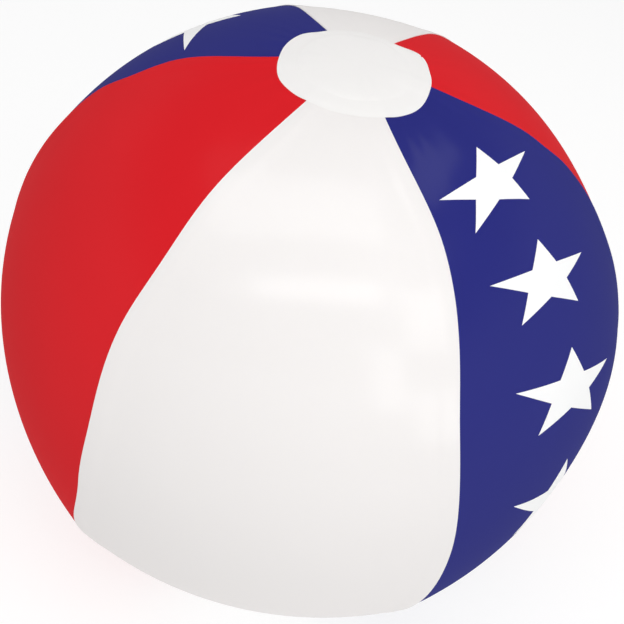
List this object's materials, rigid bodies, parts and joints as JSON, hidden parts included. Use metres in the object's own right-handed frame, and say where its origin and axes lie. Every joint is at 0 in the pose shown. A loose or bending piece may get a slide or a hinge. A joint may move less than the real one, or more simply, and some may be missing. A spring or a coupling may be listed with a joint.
{
  "type": "inflatable beach ball",
  "caption": "Inflatable beach ball of glossy white, red and star-printed blue vinyl panels, with an end disc over each pole and a push-in stem valve with a strapped plug.",
  "frame": {"origin": "centre of the ball", "axes": "+Z along the pole axis through the middles of the end discs; the white front panel is centred on -Y and the white back panel, with the valve, on +Y"},
  "size_m": [0.3086, 0.3, 0.2938],
  "materials": {
    "white_vinyl": "glossy vinyl film",
    "blue_vinyl": "glossy vinyl film, printed with white stars",
    "red_vinyl": "glossy vinyl film",
    "disc_vinyl": "glossy vinyl film",
    "valve_vinyl": "soft milky vinyl moulding"
  },
  "bodies": {
    "shell": {"panel_white_front": "white_vinyl", "panel_blue_right": "blue_vinyl", "panel_red_right": "red_vinyl", "panel_white_back": "white_vinyl", "panel_blue_left": "blue_vinyl", "panel_red_left": "red_vinyl", "end_disc_top": "disc_vinyl", "end_disc_bottom": "disc_vinyl", "valve_flange": "valve_vinyl", "valve_web": "valve_vinyl"},
    "neck": {"valve_neck": "valve_vinyl", "plug_strap": "valve_vinyl"},
    "plug": {"valve_plug": "valve_vinyl"},
    "flap": {"check_flap": "valve_vinyl"}
  },
  "joints": [
    {"name": "valve_pull", "type": "slide", "parent": "shell", "child": "neck", "axis": [0, 0.8705, 0.4922], "range_m": [0, 0.016], "deforming": ["valve_web"]},
    {"name": "plug_swing", "type": "hinge", "parent": "neck", "child": "plug", "pos_m": [0, 0.13195, 0.06524], "axis": [-1, 0, 0], "range_deg": [0, 90], "deforming": ["plug_strap"]},
    {"name": "flap_open", "type": "hinge", "parent": "neck", "child": "flap", "pos_m": [0, 0.12043, 0.06125], "axis": [1, 0, 0], "range_deg": [0, 60], "stiffness_Nm_per_rad": 0.0002}
  ]
}
